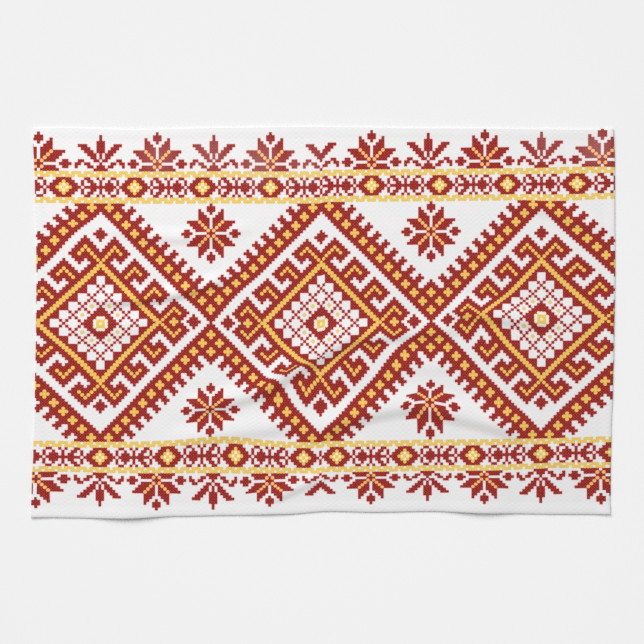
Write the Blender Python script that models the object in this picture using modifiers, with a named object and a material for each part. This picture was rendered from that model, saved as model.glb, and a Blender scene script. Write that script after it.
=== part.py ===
"""A printed waffle-weave tea towel, laid out on a table with a few soft folds.

One rectangle of cotton with a narrow hem. It rests flat on the table, except where a fold
or a lifted stretch of edge stands off it. Metres, +Z up, +X along the long side.
"""

import math
from collections import namedtuple

import bpy

# Cloth
CLOTH_THICKNESS = 0.0016
HEM_THICKNESS = 0.0022
HEM_WIDTH = 0.0065
MILLIMETRE = 0.001

# Half the towel as it lies, from its middle to the lines that the edge tables are written against
HALF_LENGTH = 0.3020
HALF_BREADTH = 0.2020

# Grid of the sheet. Its lines stand closest together at the FOCUS share of the way across or
# up, where the folds are, and CROWDING says by how much.
COLUMNS = 58
ROWS = 46
COLUMN_FOCUS = 0.52
COLUMN_CROWDING = 0.34
ROW_FOCUS = 0.27
ROW_CROWDING = 0.48

# How far over its length a fold fades in, and out again
FOLD_FADE = 0.30

COTTON_COLOUR = (0.90, 0.90, 0.89, 1.0)
COTTON_ROUGHNESS = 0.92

# Each edge is a short run of points: how far along the edge, and how far outside HALF_LENGTH
# or HALF_BREADTH the cloth reaches there, both in millimetres
EdgePoint = namedtuple("EdgePoint", "along out")

LEFT_EDGE = (
    EdgePoint(-202, 3.2),
    EdgePoint(-167, 2.2),
    EdgePoint(-135, 0.6),
    EdgePoint(-73, -1.0),
    EdgePoint(0, -2.3),
    EdgePoint(55, -2.7),
    EdgePoint(140, -1.0),
    EdgePoint(202, 1.2),
)
RIGHT_EDGE = (
    EdgePoint(-202, -2.2),
    EdgePoint(-160, -1.8),
    EdgePoint(-110, -1.0),
    EdgePoint(-70, 0.5),
    EdgePoint(-23, 1.6),
    EdgePoint(60, 2.9),
    EdgePoint(165, 2.6),
    EdgePoint(202, 1.0),
)
BOTTOM_EDGE = (
    EdgePoint(-302, 1.6),
    EdgePoint(-210, 2.6),
    EdgePoint(-150, 0.4),
    EdgePoint(-95, -0.6),
    EdgePoint(-40, -1.8),
    EdgePoint(8, -4.8),
    EdgePoint(54, -3.8),
    EdgePoint(112, -4.8),
    EdgePoint(180, -2.7),
    EdgePoint(248, -1.7),
    EdgePoint(302, -1.6),
)
TOP_EDGE = (
    EdgePoint(-302, 1.4),
    EdgePoint(-270, 2.1),
    EdgePoint(-196, 0.0),
    EdgePoint(-102, 2.1),
    EdgePoint(-24, 3.1),
    EdgePoint(117, 1.6),
    EdgePoint(274, 0.0),
    EdgePoint(302, 0.4),
)

# A fold is a soft ridge on a bowed line from its start to its end, in millimetres. bow is how
# far the line's middle stands off the straight, to the left of its direction; left and right
# are the reaches of its two flanks; rise is its height at the middle.
Fold = namedtuple("Fold", "name start_x start_y end_x end_y bow left right rise")

FOLDS = (
    Fold("foot of the crease", -155, -92, -36, -61, -4, 20, 13, 2.9),
    Fold("main crease", -80, -78, 50, -2, 0, 30, 15, 4.3),
    Fold("tail of the crease", 5, -20, 165, -4, 1, 22, 12, 2.9),
    Fold("arch, left half", -30, -126, 128, -86, 12, 26, 15, 3.9),
    Fold("arch, right half", 78, -83, 232, -122, 3, 26, 15, 3.9),
    Fold("end of the arch", 185, -112, 290, -170, 0, 14, 10, 1.6),
    Fold("between the right diamonds", 116, 16, 264, -2, -2, 22, 12, 3.2),
    Fold("slack under the left star", -178, -127, -8, -104, 2, 20, 14, 2.1),
    Fold("diagonal at the bottom", -64, -190, 12, -157, 2, 13, 9, 2.0),
    Fold("pinch at the left", -262, 26, -80, 56, -14, 14, 9, 3.1),
    Fold("dimple above the pinch", -240, 104, -58, 104, -15, 14, 10, 1.7),
    Fold("slack in the left diamond", -276, -2, -166, -2, 0, 14, 22, 1.8),
    Fold("slack above the right star", 64, -46, 142, -46, 2, 16, 14, 1.0),
    Fold("slack at the right", 232, -60, 268, 36, -6, 26, 30, 1.1),
    Fold("slack at the top right", 188, 126, 302, 86, 8, 16, 12, 2.0),
)

# A lift is a stretch of edge that stands off the table: centre and half_span along the edge,
# reach inward from it, in millimetres
Lift = namedtuple("Lift", "name edge centre half_span reach rise")

LIFTS = (
    Lift("left wave", "bottom", -202, 50, 80, 3.2),
    Lift("middle wave", "bottom", -56, 36, 50, 1.0),
    Lift("right wave", "bottom", 164, 48, 80, 3.0),
    Lift("left corner", "bottom", -306, 26, 14, 1.0),
    Lift("right corner", "bottom", 302, 26, 14, 1.2),
    Lift("right side", "right", -20, 150, 12, 0.5),
    Lift("top right corner", "right", 196, 40, 16, 0.8),
)


def bell(distance):
    """A raised cosine: 1 at nothing, 0 at a distance of 1 and beyond."""
    if abs(distance) >= 1.0:
        return 0.0
    return 0.5 + 0.5 * math.cos(math.pi * distance)


def smooth_step(value):
    """Rises smoothly from 0 to 1 as value does."""
    value = min(max(value, 0.0), 1.0)
    return value * value * (3.0 - 2.0 * value)


def edge_offset(points, along):
    """How far outside its straight line an edge stands, in metres, eased from point to point."""
    along_mm = along / MILLIMETRE
    if along_mm <= points[0].along:
        return points[0].out * MILLIMETRE
    for first, second in zip(points, points[1:]):
        if along_mm <= second.along:
            share = smooth_step((along_mm - first.along) / (second.along - first.along))
            return (first.out + (second.out - first.out) * share) * MILLIMETRE
    return points[-1].out * MILLIMETRE


def place_in_outline(across, up):
    """Plan position of the point at across and up, each from -1 to 1, inside the four edges."""
    flat_x = across * HALF_LENGTH
    flat_y = up * HALF_BREADTH
    left = -HALF_LENGTH - edge_offset(LEFT_EDGE, flat_y)
    right = HALF_LENGTH + edge_offset(RIGHT_EDGE, flat_y)
    bottom = -HALF_BREADTH - edge_offset(BOTTOM_EDGE, flat_x)
    top = HALF_BREADTH + edge_offset(TOP_EDGE, flat_x)
    share_x = 0.5 + 0.5 * across
    share_y = 0.5 + 0.5 * up
    return left + (right - left) * share_x, bottom + (top - bottom) * share_y


def fold_height(fold, x, y):
    """Height of one fold over the table at a plan position."""
    run_x = (fold.end_x - fold.start_x) * MILLIMETRE
    run_y = (fold.end_y - fold.start_y) * MILLIMETRE
    length = math.hypot(run_x, run_y)
    from_start_x = x - fold.start_x * MILLIMETRE
    from_start_y = y - fold.start_y * MILLIMETRE
    share = (from_start_x * run_x + from_start_y * run_y) / length ** 2
    if share <= 0.0 or share >= 1.0:
        return 0.0
    aside = (from_start_y * run_x - from_start_x * run_y) / length
    aside -= 4.0 * fold.bow * MILLIMETRE * share * (1.0 - share)
    flank = fold.left if aside > 0.0 else fold.right
    fade = smooth_step(share / FOLD_FADE) * smooth_step((1.0 - share) / FOLD_FADE)
    return fold.rise * MILLIMETRE * fade * bell(aside / (flank * MILLIMETRE))


def lift_height(lift, x, y):
    """Height of one lifted stretch of edge over the table at a plan position."""
    if lift.edge == "bottom":
        inward = y + HALF_BREADTH + edge_offset(BOTTOM_EDGE, x)
        along = x
    else:
        inward = HALF_LENGTH + edge_offset(RIGHT_EDGE, y) - x
        along = y
    span = bell((along / MILLIMETRE - lift.centre) / lift.half_span)
    return lift.rise * MILLIMETRE * span * bell(inward / (lift.reach * MILLIMETRE))


def cloth_height(x, y):
    """Height of the cloth's underside: nothing where it lies on the table."""
    folds = sum(fold_height(fold, x, y) for fold in FOLDS)
    lifts = sum(lift_height(lift, x, y) for lift in LIFTS)
    return folds + lifts


def crowded(share, focus, crowding):
    """A share from 0 to 1, moved so that even steps come out shortest at the focus."""
    turn = 2.0 * math.pi
    swing = math.sin(turn * (focus - share)) - math.sin(turn * focus)
    return share + crowding * swing / turn


def grid_line(index, count, half_size, focus, crowding):
    """Place of a grid line from -1 to 1, with the hem's inner edge on the first line in."""
    if index == 0:
        return -1.0
    if index == count:
        return 1.0
    hem = HEM_WIDTH / half_size
    share = crowded((index - 1) / (count - 2), focus, crowding)
    return (-1.0 + hem) + (2.0 - 2.0 * hem) * share


def cotton_material():
    """Undyed white cotton."""
    material = bpy.data.materials.new("printed cotton")
    material.use_nodes = True
    shader = material.node_tree.nodes["Principled BSDF"]
    shader.inputs["Base Color"].default_value = COTTON_COLOUR
    shader.inputs["Roughness"].default_value = COTTON_ROUGHNESS
    shader.inputs["Metallic"].default_value = 0.0
    material.diffuse_color = COTTON_COLOUR
    return material


def shape_sheet(mesh):
    """Moves a unit grid's points onto the towel's underside, and returns those of the hem."""
    hem_points = []
    for vertex in mesh.vertices:
        column = round((vertex.co.x + 1.0) * 0.5 * COLUMNS)
        row = round((vertex.co.y + 1.0) * 0.5 * ROWS)
        across = grid_line(column, COLUMNS, HALF_LENGTH, COLUMN_FOCUS, COLUMN_CROWDING)
        up = grid_line(row, ROWS, HALF_BREADTH, ROW_FOCUS, ROW_CROWDING)
        x, y = place_in_outline(across, up)
        vertex.co = (x, y, cloth_height(x, y))
        if min(column, COLUMNS - column) <= 1 or min(row, ROWS - row) <= 1:
            hem_points.append(vertex.index)
    return hem_points


def centre_in_plan(mesh):
    """Moves the sheet so that the middle of its outline's box is at the origin."""
    for axis in (0, 1):
        places = [vertex.co[axis] for vertex in mesh.vertices]
        middle = 0.5 * (min(places) + max(places))
        for vertex in mesh.vertices:
            vertex.co[axis] -= middle


def build_towel(collection):
    """The whole towel: one sheet of cloth, a little thicker along its hem."""
    bpy.ops.mesh.primitive_grid_add(x_subdivisions=COLUMNS, y_subdivisions=ROWS, size=2.0)
    towel = bpy.context.active_object
    towel.name = "towel"
    towel.data.name = "towel"
    for owner in list(towel.users_collection):
        owner.objects.unlink(towel)
    collection.objects.link(towel)

    hem_points = shape_sheet(towel.data)
    centre_in_plan(towel.data)
    hem = towel.vertex_groups.new(name="hem")
    hem.add(hem_points, 1.0, "REPLACE")

    cloth = towel.modifiers.new("cloth thickness", "SOLIDIFY")
    cloth.thickness = HEM_THICKNESS
    cloth.offset = 1.0
    cloth.use_even_offset = True
    cloth.use_quality_normals = True
    cloth.vertex_group = hem.name
    cloth.thickness_vertex_group = CLOTH_THICKNESS / HEM_THICKNESS

    towel.data.materials.append(cotton_material())
    towel.data.shade_smooth()
    towel.data.set_sharp_from_angle(angle=math.radians(50))
    return towel


def main():
    for old in list(bpy.data.objects):
        bpy.data.objects.remove(old, do_unlink=True)
    collection = bpy.data.collections.new("printed tea towel")
    bpy.context.scene.collection.children.link(collection)
    build_towel(collection)


main()
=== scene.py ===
"""Dresses the printed tea towel: its folds, hem, waffle weave and cross-stitch print.

The towel lies on a pale table and is seen from straight above. Lengths in the tables are
millimetres, as a maker writes them; everything that reaches the mesh is in metres.
"""

import logging
import math
from dataclasses import dataclass, field
from enum import Enum, IntEnum

import bmesh
import bpy
import numpy as np
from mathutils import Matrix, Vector


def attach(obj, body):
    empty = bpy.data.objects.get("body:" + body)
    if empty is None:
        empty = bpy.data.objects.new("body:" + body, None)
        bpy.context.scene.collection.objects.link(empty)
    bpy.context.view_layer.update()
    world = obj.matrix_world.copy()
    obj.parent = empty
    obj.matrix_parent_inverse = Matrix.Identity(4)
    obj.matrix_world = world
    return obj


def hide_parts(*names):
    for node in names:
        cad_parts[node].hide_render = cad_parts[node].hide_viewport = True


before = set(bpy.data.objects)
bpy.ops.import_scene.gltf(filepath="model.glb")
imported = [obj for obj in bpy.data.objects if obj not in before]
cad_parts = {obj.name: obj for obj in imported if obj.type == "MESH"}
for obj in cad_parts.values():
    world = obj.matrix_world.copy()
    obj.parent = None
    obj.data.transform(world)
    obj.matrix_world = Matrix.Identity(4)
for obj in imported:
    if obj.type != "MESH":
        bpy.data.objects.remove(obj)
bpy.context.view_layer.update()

LOG = logging.getLogger("tea_towel")

MM = 0.001

Colour = tuple[float, float, float, float]

# One cell of the waffle weave. Every other row of cells stands half a cell across
CELL_WIDE = 0.0063
CELL_HIGH = 0.0047

# How much the weave's rows stand out beside its single cells
ROW_SHARE = 0.25


def bell(distance: np.ndarray) -> np.ndarray:
    """A raised cosine: 1 at nothing, 0 at a distance of 1 and beyond."""
    return 0.5 + 0.5 * np.cos(np.pi * np.clip(distance, -1.0, 1.0))


def smooth_step(value: np.ndarray) -> np.ndarray:
    """Rises smoothly from 0 to 1 as value does."""
    value = np.clip(value, 0.0, 1.0)
    return value * value * (3.0 - 2.0 * value)


def eased(places: list[float], values: list[float], at: np.ndarray) -> np.ndarray:
    """Reads a short table, easing smoothly from each of its places to the next.

    Args:
        places: where the table's values stand, in rising order.
        values: the value at each place.
        at: the positions to read it at.

    Returns:
        One value for each position.
    """
    found = np.full_like(at, values[0])
    for k in range(len(places) - 1):
        share = smooth_step((at - places[k]) / (places[k + 1] - places[k]))
        found = found + (values[k + 1] - values[k]) * share
    return found


# The outline and the folds, as the cloth lies


class Side(Enum):
    """The edges that a stretch of hem can lift from."""

    BOTTOM = "bottom"
    RIGHT = "right"


@dataclass(frozen=True)
class EdgePoint:
    """How far outside the straight line an edge stands, at a place along it, in millimetres."""

    along: float
    out: float


def edge_points(*points: tuple[float, float]) -> tuple[EdgePoint, ...]:
    """One edge's points, from pairs of along and out."""
    return tuple(EdgePoint(along, out) for along, out in points)


@dataclass(frozen=True)
class Fold:
    """A soft ridge on a bowed line. left and right are the reaches of its flanks."""

    name: str
    start_x: float
    start_y: float
    end_x: float
    end_y: float
    bow: float
    left: float
    right: float
    rise: float

    FADE = 0.30

    def height(self, x: np.ndarray, y: np.ndarray) -> np.ndarray:
        """Height of the ridge over the table.

        Args:
            x: plan positions along the long side, in metres.
            y: plan positions along the short side, in metres.

        Returns:
            One height for each position, in metres.
        """
        run_x = (self.end_x - self.start_x) * MM
        run_y = (self.end_y - self.start_y) * MM
        length = math.hypot(run_x, run_y)
        from_x = x - self.start_x * MM
        from_y = y - self.start_y * MM
        share = np.clip((from_x * run_x + from_y * run_y) / length**2, 0.0, 1.0)
        aside = (from_y * run_x - from_x * run_y) / length
        aside = aside - 4.0 * self.bow * MM * share * (1.0 - share)
        flank = np.where(aside > 0.0, self.left, self.right) * MM
        fade = smooth_step(share / self.FADE) * smooth_step((1.0 - share) / self.FADE)
        return self.rise * MM * fade * bell(aside / flank)


@dataclass(frozen=True)
class Lift:
    """A stretch of hem that stands off the table."""

    name: str
    side: Side
    centre: float
    half_span: float
    reach: float
    rise: float

    def height(self, along: np.ndarray, inward: np.ndarray) -> np.ndarray:
        """Height over the table.

        Args:
            along: places along the edge, in metres.
            inward: distances in from the edge, in metres.

        Returns:
            One height for each place, in metres.
        """
        span = bell((along / MM - self.centre) / self.half_span)
        return self.rise * MM * span * bell(inward / (self.reach * MM))


@dataclass(frozen=True)
class Pull:
    """A patch where a fold has dragged the cloth, and its print, sideways in plan."""

    name: str
    x: float
    y: float
    turn: float
    reach_along: float
    reach_aside: float
    shift_x: float
    shift_y: float

    def strength(self, x: np.ndarray, y: np.ndarray) -> np.ndarray:
        """Share of the shift that each position gets.

        Args:
            x: plan positions along the long side, in millimetres.
            y: plan positions along the short side, in millimetres.

        Returns:
            One share for each position, from 0 to 1.
        """
        angle = math.radians(self.turn)
        from_x = x - self.x
        from_y = y - self.y
        along = from_x * math.cos(angle) + from_y * math.sin(angle)
        aside = from_y * math.cos(angle) - from_x * math.sin(angle)
        return bell(np.hypot(along / self.reach_along, aside / self.reach_aside))


@dataclass(frozen=True)
class ClothOutline:
    """The four edges of the towel, each a short run of points off a rectangle's sides."""

    half_length: float = 0.3020
    half_breadth: float = 0.2020
    left: tuple[EdgePoint, ...] = edge_points(
        (-202, 3.2), (-167, 2.2), (-135, 0.6), (-73, -1.0), (0, -2.3), (55, -2.7), (140, -1.0),
        (202, 1.2),
    )
    right: tuple[EdgePoint, ...] = edge_points(
        (-202, -2.2), (-160, -1.8), (-110, -1.0), (-70, 0.5), (-23, 1.6), (60, 2.9), (165, 2.6),
        (202, 1.0),
    )
    bottom: tuple[EdgePoint, ...] = edge_points(
        (-302, 1.6), (-210, 2.6), (-150, 0.4), (-95, -0.6), (-40, -1.8), (8, -4.8), (54, -3.8),
        (112, -4.8), (180, -2.7), (248, -1.7), (302, -1.6),
    )
    top: tuple[EdgePoint, ...] = edge_points(
        (-302, 1.4), (-270, 2.1), (-196, 0.0), (-102, 2.1), (-24, 3.1), (117, 1.6), (274, 0.0),
        (302, 0.4),
    )

    @staticmethod
    def offset(points: tuple[EdgePoint, ...], along: np.ndarray) -> np.ndarray:
        """How far outside its straight line an edge stands.

        Args:
            points: the edge's points, in order.
            along: places along the edge, in metres.

        Returns:
            One distance for each place, in metres, eased from point to point.
        """
        return eased([p.along for p in points], [p.out for p in points], along / MM) * MM

    def low_x(self, y: np.ndarray) -> np.ndarray:
        """Where the left edge stands at each y, in metres."""
        return -self.half_length - self.offset(self.left, y)

    def high_x(self, y: np.ndarray) -> np.ndarray:
        """Where the right edge stands at each y, in metres."""
        return self.half_length + self.offset(self.right, y)

    def low_y(self, x: np.ndarray) -> np.ndarray:
        """Where the bottom edge stands at each x, in metres."""
        return -self.half_breadth - self.offset(self.bottom, x)

    def high_y(self, x: np.ndarray) -> np.ndarray:
        """Where the top edge stands at each x, in metres."""
        return self.half_breadth + self.offset(self.top, x)

    def depth(self, x: np.ndarray, y: np.ndarray) -> np.ndarray:
        """Distance in from the nearest edge.

        Args:
            x: plan positions along the long side, in metres.
            y: plan positions along the short side, in metres.

        Returns:
            One distance for each position, in metres, never less than nothing.
        """
        sideways = np.minimum(x - self.low_x(y), self.high_x(y) - x)
        lengthways = np.minimum(y - self.low_y(x), self.high_y(x) - y)
        return np.maximum(np.minimum(sideways, lengthways), 0.0)


@dataclass(frozen=True)
class ClothLie:
    """How the towel lies: its outline, its ridges and its lifted stretches of hem."""

    outline: ClothOutline = ClothOutline()
    folds: tuple[Fold, ...] = (
        Fold("foot of the crease", -155, -92, -36, -61, -4, 20, 13, 3.1),
        Fold("main crease", -80, -78, 50, -2, 0, 30, 15, 3.8),
        Fold("tail of the crease", 5, -20, 165, -4, 1, 22, 12, 2.3),
        Fold("arch, left half", -30, -126, 128, -86, 12, 26, 15, 3.4),
        Fold("arch, right half", 78, -83, 232, -122, 3, 26, 15, 3.9),
        Fold("end of the arch", 185, -112, 290, -170, 0, 14, 10, 1.6),
        Fold("between the right diamonds", 116, 16, 264, -2, -2, 22, 12, 3.2),
        Fold("slack under the left star", -178, -127, -8, -104, 2, 20, 14, 2.1),
        Fold("diagonal at the bottom", -64, -190, 12, -157, 2, 13, 9, 2.0),
        Fold("pinch at the left", -262, 26, -80, 56, -14, 14, 9, 3.1),
        Fold("dimple above the pinch", -240, 104, -58, 104, -15, 14, 10, 1.7),
        Fold("slack in the left diamond", -276, -2, -166, -2, 0, 14, 22, 1.8),
        Fold("slack above the right star", 64, -46, 142, -46, 2, 16, 14, 1.0),
        Fold("slack at the right", 232, -60, 268, 36, -6, 26, 30, 1.1),
        Fold("slack at the top right", 188, 126, 302, 86, 8, 16, 12, 2.0),
    )
    lifts: tuple[Lift, ...] = (
        Lift("left wave", Side.BOTTOM, -202, 50, 80, 3.2),
        Lift("middle wave", Side.BOTTOM, -56, 36, 50, 1.0),
        Lift("right wave", Side.BOTTOM, 164, 48, 80, 3.0),
        Lift("left corner", Side.BOTTOM, -306, 26, 14, 1.0),
        Lift("right corner", Side.BOTTOM, 302, 26, 14, 1.2),
        Lift("right side", Side.RIGHT, -20, 150, 12, 0.5),
        Lift("top right corner", Side.RIGHT, 196, 40, 16, 0.8),
    )

    def height(self, x: np.ndarray, y: np.ndarray) -> np.ndarray:
        """Height of the cloth's underside: nothing where it lies on the table.

        Args:
            x: plan positions along the long side, in metres.
            y: plan positions along the short side, in metres.

        Returns:
            One height for each position, in metres.
        """
        up = sum(fold.height(x, y) for fold in self.folds)
        for lift in self.lifts:
            if lift.side is Side.BOTTOM:
                up = up + lift.height(x, y - self.outline.low_y(x))
            else:
                up = up + lift.height(y, self.outline.high_x(y) - x)
        return up


# The print, a cross-stitch chart


class Stitch(IntEnum):
    """What one square of the chart holds."""

    BARE = 0
    RED = 1
    YELLOW = 2
    PALE = 3
    LEMON = 4
    CREAM = 5
    AMBER = 6
    EYE = 7


def steps_apart(across: int, up: int) -> int:
    """Distance between two squares, counted in steps along the rows and columns."""
    return abs(across) + abs(up)


@dataclass(frozen=True)
class LeafStar:
    """The eight-pointed leaf star with a bud beyond each pair of leaves."""

    reach: int = 10
    rib: int = 4
    bud_from: int = 7

    def stitch(self, across: int, up: int) -> Stitch:
        """Reads the star's chart.

        Args:
            across: columns from the star's middle.
            up: rows from the star's middle.

        Returns:
            What the square holds.
        """
        far = max(abs(across), abs(up))
        near = min(abs(across), abs(up))
        if far + near <= 1:
            return Stitch.RED
        if far == near and far <= self.rib:
            return Stitch.AMBER
        if 1 <= near <= self.rib and near < far <= near + self.rib:
            return Stitch.RED
        wide_of_bud = near <= 1 and self.bud_from < far < self.reach
        tip_of_bud = near == 0 and far in (self.bud_from, self.reach)
        return Stitch.RED if wide_of_bud or tip_of_bud else Stitch.BARE


@dataclass(frozen=True)
class ToothRow:
    """One row of the zigzag's toothed edge, in steps from the diamond's middle.

    The row is red up to solid, and again from tooth_from to tooth_to.
    """

    solid: int
    tooth_from: int
    tooth_to: int


@dataclass(frozen=True)
class DiamondField:
    """The broad middle of the towel: three diamonds in zigzag bands, with stars between them.

    A quarter of one diamond is charted, mirrored both ways and repeated along the towel.
    """

    repeat: int = 78
    top_row: int = 41
    star_row: int = 31
    star: LeafStar = LeafStar()

    # Where each ring round a diamond's middle starts, in steps from it
    line_ring: int = 20
    horn_ring: int = 22
    bare_ring: int = 35
    zigzag_ring: int = 39

    # The ring of horns ends where the rows exceed the columns by so many, or the columns the rows
    bare_above: int = 25
    bare_beside: int = 29

    # The diamond's heart is made of blocks of squares, with eyes in the blocks of one ring
    block: int = 3
    eye_ring: int = 3
    last_block_ring: int = 5

    # Small lone diamonds in each diamond's corners. The lower ones stand a row nearer or are longer
    lone_above: tuple[int, ...] = (30,)
    lone_below: tuple[int, ...] = (-29,)
    lone_below_middle: tuple[int, ...] = (-29, -30)
    lone_aside: int = 33
    lone_reach: int = 2

    # The zigzag band's yellow crosses stand on its line, every third column. One more cross and
    # two red squares stand where two diamonds meet
    cross_step: int = 3
    cross_line: int = 43
    joint_cross_row: int = 10
    joint_red_rows: tuple[int, ...] = (13, 14)

    # The ring of horns repeats every seven squares down its slope and ends in a cross at the side
    horn_count: int = 4
    horn_step: int = 7
    horn_column: int = 5
    horn_row: int = 29
    side_cross_column: int = 26

    teeth: tuple[ToothRow, ...] = (
        ToothRow(47, 51, 51),
        ToothRow(46, 49, 51),
        ToothRow(49, 49, 49),
        ToothRow(47, 51, 51),
        ToothRow(47, 49, 51),
        ToothRow(49, 49, 49),
    )

    # Squares of one horn, by rows below its tip: yellow ones, one more yellow on the first and
    # last horns, then the bare hook behind it
    horn_yellow = {3: (0,), 4: (-1, 1), 5: (-2, 2), 6: (-3,)}
    horn_extra: tuple[int, int] = (-4, 7)
    horn_bare = {
        6: (5, 6),
        7: (0, 4, 5, 6),
        8: (-1, 0, 1, 3, 4, 5),
        9: (0, 1, 2, 3, 4),
        10: (1, 2, 3),
        11: (2,),
    }

    def zigzag(self, across: int, up: int) -> Stitch:
        """The zigzag band, its yellow crosses and its toothed outer edge.

        Args:
            across: columns from the diamond's middle, 0 or more.
            up: rows from the diamond's middle, 0 or more.

        Returns:
            What the square holds.
        """
        half = self.repeat // 2
        for column in range(self.cross_step, half + 1, self.cross_step):
            if steps_apart(across - column, up - (self.cross_line - column)) <= 1:
                return Stitch.YELLOW
        if steps_apart(across - half, up - self.joint_cross_row) <= 1:
            return Stitch.YELLOW
        row = self.teeth[(self.star_row - up) % len(self.teeth)]
        steps = across + up
        if steps <= row.solid or row.tooth_from <= steps <= row.tooth_to:
            return Stitch.RED
        at_joint = across == half and up in self.joint_red_rows
        return Stitch.RED if at_joint else Stitch.BARE

    def horns(self, across: int, up: int) -> Stitch:
        """The ring of horns between the diamond's heart and the zigzag band.

        Args:
            across: columns from the diamond's middle, 0 or more.
            up: rows from the diamond's middle, 0 or more.

        Returns:
            What the square holds.
        """
        if steps_apart(across - self.side_cross_column, up) <= 1:
            return Stitch.YELLOW
        last = self.horn_count - 1
        for count in range(self.horn_count):
            aside = across - (self.horn_column + self.horn_step * count)
            below = (self.horn_row - self.horn_step * count) - up
            if aside in self.horn_yellow.get(below, ()):
                return Stitch.YELLOW
            if count in (0, last) and (aside, below) == self.horn_extra:
                return Stitch.YELLOW
            if count < last and aside in self.horn_bare.get(below, ()):
                return Stitch.BARE
        return Stitch.RED

    def heart(self, across: int, up: int) -> Stitch:
        """The diamond's heart: blocks of squares in rings round the middle.

        Args:
            across: columns from the diamond's middle, 0 or more.
            up: rows from the diamond's middle, 0 or more.

        Returns:
            What the square holds.
        """
        block_x = (across + 1) // self.block
        block_y = (up + 1) // self.block
        in_x = across - self.block * block_x
        in_y = up - self.block * block_y
        ring = block_x + block_y
        if ring == 0:
            return Stitch.PALE if across == up == 0 else Stitch.LEMON
        if ring == 1:
            on_rim = max(across, up) == self.block - 1 and min(across, up) <= 1
            return Stitch.CREAM if on_rim else Stitch.RED
        if ring > self.last_block_ring:
            return Stitch.RED
        if ring % 2:
            off_axes = block_x > 0 and block_y > 0
            is_eye = ring == self.eye_ring and off_axes and in_x == in_y == 0
            return Stitch.EYE if is_eye else Stitch.BARE
        if (in_x == 0) == (in_y == 0):
            return Stitch.RED
        beyond = steps_apart(block_x + in_x, block_y + in_y)
        return Stitch.RED if beyond == 1 or beyond > self.last_block_ring else Stitch.BARE

    def quarter(self, across: int, up: int) -> Stitch:
        """Reads the chart of a quarter of one diamond.

        Args:
            across: columns from the diamond's middle, 0 or more.
            up: rows from the diamond's middle, 0 or more.

        Returns:
            What the square holds.
        """
        steps = across + up
        if steps >= self.zigzag_ring:
            return self.zigzag(across, up)
        if steps_apart(across - self.lone_aside, up) <= self.lone_reach:
            return Stitch.RED
        past_horns = up - across >= self.bare_above or across - up >= self.bare_beside
        if steps >= self.bare_ring or past_horns:
            return Stitch.BARE
        if steps >= self.horn_ring:
            return self.horns(across, up)
        if steps >= self.line_ring:
            return Stitch.YELLOW
        return self.heart(across, up)

    def stitch(self, column: int, row: int) -> Stitch:
        """Reads the chart of the towel's broad middle.

        Args:
            column: columns from the towel's middle.
            row: rows from the towel's middle.

        Returns:
            What the square holds.
        """
        half = self.repeat // 2
        across = abs((column + half) % self.repeat - half)
        lone_rows = self.lone_above
        if row <= 0:
            lone_rows = self.lone_below_middle if abs(column) < half else self.lone_below
        if any(steps_apart(across, row - lone) <= self.lone_reach for lone in lone_rows):
            return Stitch.RED
        found = self.quarter(across, abs(row))
        if found is Stitch.BARE:
            return self.star.stitch(across - half, abs(row) - self.star_row)
        return found


@dataclass(frozen=True)
class RosetteBand:
    """The narrow band of rosettes, with a barred figure between each two."""

    middle_row: int = 47
    half_rows: int = 3
    repeat: int = 24
    reach: int = 5
    near_figure: int = 6
    far_figure: int = 18
    dot_rows: tuple[int, ...] = (1, 2)

    # Columns from a bar's middle that are red, by rows from it, on either side of it
    bow_side = {3: (4, 5), 2: (3, 4), 1: (2, 3)}
    fish_side = {3: (4, 5), 2: (3,), 1: (2, 3, 4)}

    def from_nearest(self, column: int, first: int) -> int:
        """Columns from the nearest figure of a run that starts at first and is mirrored."""
        count = max(round((abs(column) - first) / self.repeat), 0)
        return column - int(math.copysign(first + self.repeat * count, column))

    def rosette(self, across: int, up: int) -> Stitch:
        """A red lozenge with a yellow and pale flower in it.

        Args:
            across: columns from the rosette's middle.
            up: rows from the rosette's middle.

        Returns:
            What the square holds.
        """
        if abs(across) > self.reach - abs(up):
            return Stitch.BARE
        flower = (Stitch.LEMON, Stitch.PALE, Stitch.YELLOW)
        steps = steps_apart(across, up)
        return flower[steps] if steps < len(flower) else Stitch.RED

    def barred(self, across: int, up: int, bow_on_left: bool) -> Stitch:
        """A bar with a bow shape on one side and a fish shape on the other.

        Args:
            across: columns from the bar's middle.
            up: rows from the bar's middle.
            bow_on_left: True where the bow is on the left.

        Returns:
            What the square holds.
        """
        up = abs(up)
        if across == 0:
            return Stitch.RED if up < self.half_rows else Stitch.BARE
        if up == 0:
            return Stitch.RED if abs(across) <= self.reach else Stitch.BARE
        if abs(across) == 1:
            return Stitch.RED if up == self.half_rows else Stitch.BARE
        shape = self.bow_side if (across < 0) == bow_on_left else self.fish_side
        return Stitch.RED if abs(across) in shape[up] else Stitch.BARE

    def stitch(self, column: int, up: int, upper: bool) -> Stitch:
        """Reads the band's chart.

        Args:
            column: columns from the towel's middle.
            up: rows from the band's middle.
            upper: True for the band above the towel's middle.

        Returns:
            What the square holds.
        """
        rosettes, bars = self.near_figure, self.far_figure
        if upper:
            rosettes, bars = bars, rosettes
        across = self.from_nearest(column, rosettes)
        if abs(across) <= self.reach and self.rosette(across, up) is not Stitch.BARE:
            return self.rosette(across, up)
        if column % (self.repeat // 2) == 0 and abs(up) in self.dot_rows:
            return Stitch.RED
        across = self.from_nearest(column, bars)
        if abs(across) <= self.reach:
            return self.barred(across, up, bow_on_left=upper)
        return Stitch.BARE


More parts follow.
